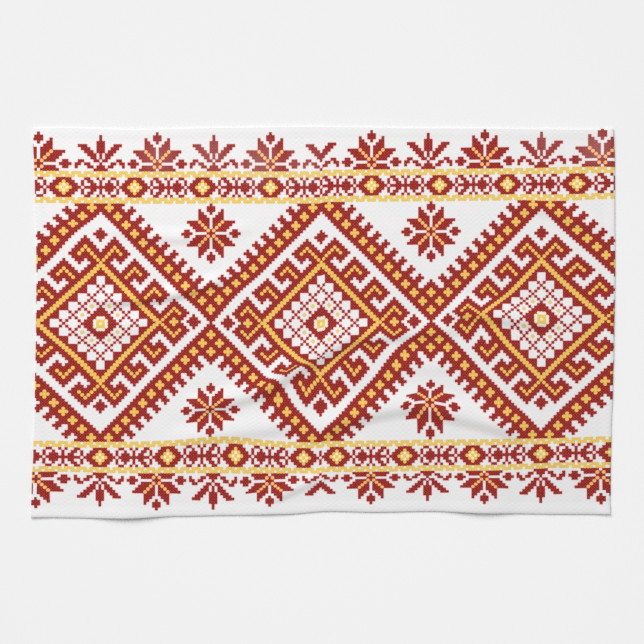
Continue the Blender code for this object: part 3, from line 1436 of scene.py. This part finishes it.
@dataclass
class TowelSheet:
    """The cloth: a printed face, a plain back, and a rounded hem that joins them."""

    lie: ClothLie = ClothLie()
    chart: TowelChart = TowelChart()
    layout: PrintLayout = PrintLayout()

    # The grid's lines stand between squares of the chart, a few past the cloth's edges
    first_column: float = -104.5
    last_column: float = 106.5
    first_row: float = -73.5
    last_row: float = 72.5

    # Sizes in metres. The rim is round where the hem stands loose, and tight where it is pressed
    thickness: float = 0.0016
    hem_thickness: float = 0.0021
    hem_width: float = 0.0090
    hem_step: float = 0.0080
    hem_turn: float = 0.0075
    rim_depths: tuple[float, ...] = (0.0, 0.00015, 0.0006, 0.0015, 0.0030)
    rim_round: float = 0.0032
    tight_round: float = 0.0007
    squeeze: float = 0.00004
    back_lift: float = 0.00015

    # How much of the print shows through on the back
    ghost: float = 0.05

    # A square squeezed to less than this share of its size borrows nothing from the next one
    whole_square: float = 0.9
    trim_rounds: int = 3
    bake_margin: float = 0.004

    def build(self) -> bpy.types.Object:
        """Makes the sheet's mesh, with its UV maps and its stitches' attributes.

        Returns:
            The towel's object.
        """
        columns = np.arange(self.first_column, self.last_column + 0.5)
        rows = np.arange(self.first_row, self.last_row + 0.5)
        column, row = np.meshgrid(columns, rows)
        x, y = self.layout.place(column, row)
        pitch_x = np.gradient(x, axis=1)
        pitch_y = np.gradient(y, axis=0)
        trimmed_x, trimmed_y = self.trim(x, y)
        column = column + (trimmed_x - x) / pitch_x
        row = row + (trimmed_y - y) / pitch_y

        middle_x = self.middles(trimmed_x)
        middle_y = self.middles(trimmed_y)
        top = self.surface(trimmed_x, trimmed_y, upper=True)
        centres = self.surface(middle_x, middle_y, upper=True)
        under = self.surface(trimmed_x, trimmed_y, upper=False)
        points = np.concatenate([top, centres, under])

        high, wide = x.shape
        corner = np.arange(wide * high).reshape(high, wide)
        middle = wide * high + np.arange((wide - 1) * (high - 1)).reshape(high - 1, wide - 1)
        below = corner + wide * high + (wide - 1) * (high - 1)
        for rim in (np.s_[0, :], np.s_[-1, :], np.s_[:, 0], np.s_[:, -1]):
            below[rim] = corner[rim]

        around = [corner[:-1, :-1], corner[:-1, 1:], corner[1:, 1:], corner[1:, :-1]]
        quarters = [np.stack([around[k], around[(k + 1) % 4], middle], -1) for k in range(4)]
        quarters = np.stack(quarters, axis=2).reshape(-1, 3)
        backs = [below[:-1, :-1], below[1:, :-1], below[1:, 1:], below[:-1, 1:]]
        backs = np.stack(backs, -1).reshape(-1, 4)

        mesh = bpy.data.meshes.new("tea_towel")
        mesh.from_pydata(points.tolist(), [], quarters.tolist() + backs.tolist())
        self.paint(mesh, column, row, middle_x, middle_y)
        towel = bpy.data.objects.new("tea_towel_cloth", mesh)
        bpy.context.scene.collection.objects.link(towel)
        mesh.shade_smooth()
        self.centre(mesh)
        self.drop_loose(mesh)
        return towel

    @staticmethod
    def middles(grid: np.ndarray) -> np.ndarray:
        """The mean of each four neighbouring values of a grid."""
        return 0.25 * (grid[:-1, :-1] + grid[:-1, 1:] + grid[1:, 1:] + grid[1:, :-1])

    def trim(self, x: np.ndarray, y: np.ndarray) -> tuple[np.ndarray, np.ndarray]:
        """Cuts the grid to the outline: lines that stand past an edge gather in its rounded rim.

        Args:
            x: plan x of the grid's crossings, in metres, more than the cloth holds.
            y: plan y of the grid's crossings, in metres.

        Returns:
            The plan x and y of the crossings on the cloth.
        """
        outline = self.lie.outline
        keep_x = self.least_depths(x.shape[1])[None, :]
        keep_y = self.least_depths(x.shape[0])[:, None]
        for _ in range(self.trim_rounds):
            x = np.maximum(x, outline.low_x(y) + keep_x)
            x = np.minimum(x, outline.high_x(y) - keep_x[:, ::-1])
            y = np.maximum(y, outline.low_y(x) + keep_y)
            y = np.minimum(y, outline.high_y(x) - keep_y[::-1, :])
        return x, y

    def least_depths(self, count: int) -> np.ndarray:
        """How deep inside the first edge each of the grid's lines has to stand.

        Args:
            count: how many lines there are.

        Returns:
            One depth for each line, in metres.
        """
        rim = list(self.rim_depths)
        more = [rim[-1] + self.squeeze * (k + 1) for k in range(count - len(rim))]
        return np.array(rim + more)

    def cloth_thickness(self, depth: np.ndarray) -> np.ndarray:
        """Thickness of the cloth at a distance from the edge: the hem's, then a step down."""
        inside = smooth_step((depth - self.hem_width + 0.5 * self.hem_step) / self.hem_step)
        return self.hem_thickness + (self.thickness - self.hem_thickness) * inside

    @staticmethod
    def rounding(depth: np.ndarray, reach: float) -> np.ndarray:
        """Share of the half thickness that the rim has at a distance from the edge, as an arc."""
        inward = np.clip(depth / reach, 0.0, 1.0)
        return np.sqrt(1.0 - (1.0 - inward) ** 2)

    def surface(self, x: np.ndarray, y: np.ndarray, upper: bool) -> np.ndarray:
        """Points of the face or the back over plan positions.

        Args:
            x: plan positions along the long side, in metres.
            y: plan positions along the short side, in metres.
            upper: True for the printed face, False for the back.

        Returns:
            An array of positions, three numbers a row.
        """
        depth = self.lie.outline.depth(x, y)
        half = 0.5 * self.cloth_thickness(depth)
        side = 1.0 if upper else -1.0
        if upper:
            outline = self.lie.outline
            pressed = np.minimum(x - outline.low_x(y), outline.high_y(x) - y)
            loose = np.minimum(outline.high_x(y) - x, y - outline.low_y(x))
            rounded = self.rounding(pressed, self.tight_round)
            rounded = np.minimum(rounded, self.rounding(loose, self.rim_round))
        else:
            rounded = self.rounding(depth, 0.5 * self.hem_thickness)
        z = self.lie.height(x, y) + self.back_lift + half + side * half * rounded
        return np.stack([x.ravel(), y.ravel(), z.ravel()], axis=-1)

    def paint(
        self,
        mesh: bpy.types.Mesh,
        column: np.ndarray,
        row: np.ndarray,
        middle_x: np.ndarray,
        middle_y: np.ndarray,
    ) -> None:
        """Gives each face its square of the chart, and the mesh its UV maps.

        Args:
            mesh: the sheet's mesh, quarters of squares first and then the back's faces.
            column: the chart's column at each crossing of the grid, as a fraction.
            row: the chart's row at each crossing of the grid, as a fraction.
            middle_x: plan x of each square's middle, in metres.
            middle_y: plan y of each square's middle, in metres.
        """
        middle_column = self.middles(column)
        middle_row = self.middles(row)
        squares = self.stitches(middle_column, middle_row)
        padded = np.pad(squares, 1, mode="edge")
        nexts = [padded[:-2, 1:-1], padded[1:-1, 2:], padded[2:, 1:-1], padded[1:-1, :-2]]
        nexts = np.stack(nexts, axis=-1)
        wide = self.middles(np.abs(np.gradient(column, axis=1))) > self.whole_square
        high = self.middles(np.abs(np.gradient(row, axis=0))) > self.whole_square
        nexts = np.where((wide & high)[:, :, None], nexts, squares[:, :, None])

        count = squares.size
        pale = np.repeat(self.layout.fading(middle_x, middle_y).ravel(), 4)
        self.add_values(mesh, "fade", np.concatenate([pale, np.zeros(count)]))

        # On the back, the turned hem shows the print that runs on past the edge
        turned = (self.lie.outline.depth(middle_x, middle_y) < self.hem_turn).ravel()
        behind = np.where(turned, self.turned_under(column, row).ravel(), squares.ravel())
        ink = np.where(turned, 1.0, self.ghost)
        self.add_values(mesh, "stitch", np.concatenate([np.repeat(squares.ravel(), 4), behind]))
        self.add_values(mesh, "next_stitch", np.concatenate([nexts.ravel(), behind]))
        self.add_values(mesh, "ink", np.concatenate([np.ones(4 * count), ink]))

        point_column = np.concatenate([column.ravel(), middle_column.ravel(), column.ravel()])
        point_row = np.concatenate([row.ravel(), middle_row.ravel(), row.ravel()])
        corners = np.zeros(len(mesh.loops), np.int32)
        mesh.loops.foreach_get("vertex_index", corners)
        places = np.zeros(len(mesh.vertices) * 3, np.float32)
        mesh.vertices.foreach_get("co", places)
        places = places.reshape(-1, 3)[corners]
        self.add_map(mesh, "OFBake", *self.bake_places(places[:, 0], places[:, 1], 12 * count))
        squares_u = (point_column[corners] + 0.5) / STITCH_MAP_SPAN + 0.5
        squares_v = (point_row[corners] + 0.5) / STITCH_MAP_SPAN + 0.5
        self.add_map(mesh, "stitches", squares_u, squares_v)

    def stitches(self, column: np.ndarray, row: np.ndarray) -> np.ndarray:
        """The chart's square at each place of a grid, as a number."""
        whole = zip(np.rint(column).astype(int).ravel(), np.rint(row).astype(int).ravel())
        numbers = [int(self.chart.stitch(int(i), int(j))) for i, j in whole]
        return np.array(numbers).reshape(column.shape)

    def turned_under(self, column: np.ndarray, row: np.ndarray) -> np.ndarray:
        """The chart's squares that a hem turned under shows on the back.

        Args:
            column: the chart's column at each crossing of the grid.
            row: the chart's row at each crossing of the grid.

        Returns:
            One stitch's number for each square of the grid, as mirrored in the nearest edge.
        """
        c, r = self.middles(column), self.middles(row)
        left, right = self.middles(column[:, [0, 0]]), self.middles(column[:, [-1, -1]])
        low, high = self.middles(row[[0, 0], :]), self.middles(row[[-1, -1], :])
        beside = np.minimum(c - left, right - c) < np.minimum(r - low, high - r)
        mirrored_c = np.where(c - left < right - c, 2.0 * left - c, 2.0 * right - c)
        mirrored_r = np.where(r - low < high - r, 2.0 * low - r, 2.0 * high - r)
        return self.stitches(np.where(beside, mirrored_c, c), np.where(beside, r, mirrored_r))

    def bake_places(
        self, x: np.ndarray, y: np.ndarray, face_loops: int
    ) -> tuple[np.ndarray, np.ndarray]:
        """Places in the baked picture: the face fills most of it, the back has a corner.

        Args:
            x: each loop's plan x, in metres.
            y: each loop's plan y, in metres.
            face_loops: how many loops, from the first, belong to the face.

        Returns:
            The u and v of each loop.
        """
        margin = self.bake_margin
        share_x = (x - x.min()) / (x.max() - x.min())
        share_y = (y - y.min()) / (y.max() - y.min())
        shape = (y.max() - y.min()) / (x.max() - x.min())
        face_high = (1.0 - 2.0 * margin) * shape
        back_high = 1.0 - face_high - 3.0 * margin
        back_wide = back_high / shape
        on_face = np.arange(len(x)) < face_loops
        face_u = margin + (1.0 - 2.0 * margin) * share_x
        back_u = margin + back_wide * share_x
        face_v = margin + face_high * share_y
        back_v = face_high + 2.0 * margin + back_high * share_y
        return np.where(on_face, face_u, back_u), np.where(on_face, face_v, back_v)

    @staticmethod
    def add_values(mesh: bpy.types.Mesh, name: str, values: np.ndarray) -> None:
        """Adds an attribute with one number for each face."""
        added = mesh.attributes.new(name, "FLOAT", "FACE")
        added.data.foreach_set("value", values.astype(np.float32))

    @staticmethod
    def add_map(mesh: bpy.types.Mesh, name: str, u: np.ndarray, v: np.ndarray) -> None:
        """Adds a UV map with one place for each loop."""
        layer = mesh.uv_layers.new(name=name)
        layer.uv.foreach_set("vector", np.stack([u, v], -1).astype(np.float32).ravel())

    @staticmethod
    def centre(mesh: bpy.types.Mesh) -> None:
        """Moves the sheet in plan so that its box's middle is at the origin, as the part's is.

        Args:
            mesh: the sheet's mesh.
        """
        places = np.zeros(len(mesh.vertices) * 3, np.float32)
        mesh.vertices.foreach_get("co", places)
        places = places.reshape(-1, 3)
        places[:, :2] -= 0.5 * (places[:, :2].min(axis=0) + places[:, :2].max(axis=0))
        mesh.vertices.foreach_set("co", places.ravel())
        mesh.update()

    @staticmethod
    def drop_loose(mesh: bpy.types.Mesh) -> None:
        """Removes points that no face uses: those of the back along the shared rim.

        Args:
            mesh: the sheet's mesh.
        """
        work = bmesh.new()
        work.from_mesh(mesh)
        bmesh.ops.delete(work, geom=[v for v in work.verts if not v.link_faces], context="VERTS")
        work.to_mesh(mesh)
        work.free()

    def dress(self, towel: bpy.types.Object, finish: PrintedWaffleCotton) -> None:
        """Puts the printed cotton on the sheet."""
        towel.data.materials.append(finish.build())


@dataclass
class HemStitches:
    """The machine's stitches that hold the hem, as they show on the back."""

    lie: ClothLie = ClothLie()

    # The runs start so far left of the middle, and so far below it, past the cloth's corners
    half_run: tuple[float, float] = (0.312, 0.212)
    inset: float = 0.0062
    length: float = 0.0025
    gap: float = 0.0007
    half_width: float = 0.00020
    half_height: float = 0.00012
    above_table: float = 0.00014
    sides: int = 6

    # How full a stitch is, at shares of its length
    swell: tuple[tuple[float, float], ...] = (
        (0.0, 0.35),
        (0.12, 0.85),
        (0.5, 1.0),
        (0.88, 0.85),
        (1.0, 0.35),
    )

    def build(self) -> bpy.types.Object:
        """Makes all the stitches as one mesh.

        Returns:
            The stitches' object.
        """
        points: list[tuple[float, float, float]] = []
        faces: list[list[int]] = []
        for start, end in self.runs():
            self.add_stitch(points, faces, start, end)
        mesh = bpy.data.meshes.new("hem_stitches")
        mesh.from_pydata(points, [], faces)
        mesh.shade_smooth()
        stitches = bpy.data.objects.new("tea_towel_hem_stitches", mesh)
        bpy.context.scene.collection.objects.link(stitches)
        return stitches

    def runs(self) -> list[tuple[Vector, Vector]]:
        """Where the stitches stand, round the whole hem.

        Returns:
            The start and the end of each stitch in plan, in metres.
        """
        outline = self.lie.outline
        step = self.length + self.gap
        found: list[tuple[Vector, Vector]] = []
        for x in np.arange(-self.half_run[0], self.half_run[0], step):
            ends = np.array([x, x + self.length])
            for y in (outline.low_y(ends) + self.inset, outline.high_y(ends) - self.inset):
                found.append((Vector((ends[0], y[0])), Vector((ends[1], y[1]))))
        for y in np.arange(-self.half_run[1], self.half_run[1], step):
            ends = np.array([y, y + self.length])
            for x in (outline.low_x(ends) + self.inset, outline.high_x(ends) - self.inset):
                found.append((Vector((x[0], ends[0])), Vector((x[1], ends[1]))))
        least = self.inset - 0.5 * self.gap
        return [run for run in found if min(self.depth(point) for point in run) > least]

    def depth(self, point: Vector) -> float:
        """Distance of a plan position from the nearest edge, in metres."""
        return float(self.lie.outline.depth(np.array(point.x), np.array(point.y)))

    def add_stitch(self, points: list, faces: list, start: Vector, end: Vector) -> None:
        """Adds one stitch, a short bar with rounded ends.

        Args:
            points: the mesh's points so far, added to.
            faces: the mesh's faces so far, added to.
            start: plan position of one end, in metres.
            end: plan position of the other end.
        """
        first = len(points)
        along = (end - start).normalized()
        across = Vector((-along.y, along.x))
        for share, size in self.swell:
            middle = start.lerp(end, share)
            lifted = float(self.lie.height(np.array(middle.x), np.array(middle.y)))
            base = lifted + self.above_table
            for k in range(self.sides):
                angle = 2.0 * math.pi * k / self.sides
                place = middle + across * (math.cos(angle) * self.half_width * size)
                points.append((place.x, place.y, base + math.sin(angle) * self.half_height * size))
        for ring in range(len(self.swell) - 1):
            for k in range(self.sides):
                near, far = first + ring * self.sides, first + (ring + 1) * self.sides
                after = (k + 1) % self.sides
                faces.append([near + k, near + after, far + after, far + k])
        faces.append([first + k for k in reversed(range(self.sides))])
        last = first + (len(self.swell) - 1) * self.sides
        faces.append([last + k for k in range(self.sides)])

    def dress(self, stitches: bpy.types.Object, finish: SewingThread) -> None:
        """Puts the thread's finish on the stitches."""
        stitches.data.materials.append(finish.build())


# The setting


@dataclass
class Table:
    """The surface that the towel lies on. It is no part of the object."""

    size: float = 4.0

    def build(self, finish: PaleTable) -> None:
        """Makes the table's surface, just under the towel.

        Args:
            finish: its material.
        """
        bpy.ops.mesh.primitive_plane_add(size=self.size, location=(0.0, 0.0, 0.0))
        table = bpy.context.active_object
        table.name = "table"
        table.data.materials.append(finish.build())


@dataclass
class Studio:
    """Soft light from the upper left, and a camera straight above."""

    sky: float = 0.39
    window_power: float = 96.0
    window_size: float = 2.35
    window_distance: float = 3.0
    window_from: tuple[float, float, float] = (-0.45, 0.80, 1.0)
    lens: float = 85.0
    sensor: float = 36.0
    frame_width: float = 0.67298
    look_at: tuple[float, float] = (-0.00105, 0.00031)
    far_clip: float = 20.0

    def light(self) -> None:
        """Lights the scene from all sides, and a little more from the upper left."""
        world = bpy.data.worlds.new("studio")
        world.use_nodes = True
        background = world.node_tree.nodes["Background"]
        background.inputs["Color"].default_value = (1.0, 1.0, 1.0, 1.0)
        background.inputs["Strength"].default_value = self.sky
        bpy.context.scene.world = world
        lamp = bpy.data.lights.new("window", "AREA")
        lamp.energy = self.window_power
        lamp.size = self.window_size
        window = bpy.data.objects.new("window", lamp)
        towards = Vector(self.window_from).normalized()
        window.location = towards * self.window_distance
        window.rotation_mode = "QUATERNION"
        window.rotation_quaternion = towards.to_track_quat("Z", "Y")
        bpy.context.scene.collection.objects.link(window)

    def place_camera(self) -> None:
        """Puts the camera straight above the towel, at the photograph's scale."""
        camera = bpy.data.cameras.new("camera")
        camera.lens = self.lens
        camera.sensor_width = self.sensor
        camera.clip_end = self.far_clip
        above = self.frame_width * self.lens / self.sensor
        viewer = bpy.data.objects.new("camera", camera)
        viewer.location = (*self.look_at, above)
        bpy.context.scene.collection.objects.link(viewer)
        bpy.context.scene.camera = viewer

    @staticmethod
    def plain_colours() -> None:
        """Shows colours plainly: no film look, and no smoothing, which wipes out stitches."""
        settings = bpy.context.scene.view_settings
        settings.view_transform = "Standard"
        settings.look = "None"
        settings.exposure = 0.0
        settings.gamma = 1.0
        bpy.context.scene.cycles.use_denoising = False


def main() -> None:
    logging.basicConfig(level=logging.INFO, format="%(message)s")

    studio = Studio()
    studio.plain_colours()
    studio.light()
    studio.place_camera()
    Table().build(PaleTable())
    LOG.info("setting: table, light and camera")

    sheet = TowelSheet()
    towel = sheet.build()
    sheet.dress(towel, PrintedWaffleCotton())
    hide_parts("towel")
    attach(towel, "root")
    LOG.info("towel: %d faces", len(towel.data.polygons))
    for kind, shapes in (
        ("folds", sheet.lie.folds),
        ("lifted hem", sheet.lie.lifts),
        ("pulls", sheet.layout.pulls),
    ):
        LOG.info("%s: %s", kind, "; ".join(shape.name for shape in shapes))

    hem = HemStitches()
    stitches = hem.build()
    hem.dress(stitches, SewingThread())
    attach(stitches, "root")
    LOG.info("hem stitches: %d faces", len(stitches.data.polygons))


if __name__ == "__main__":
    main()
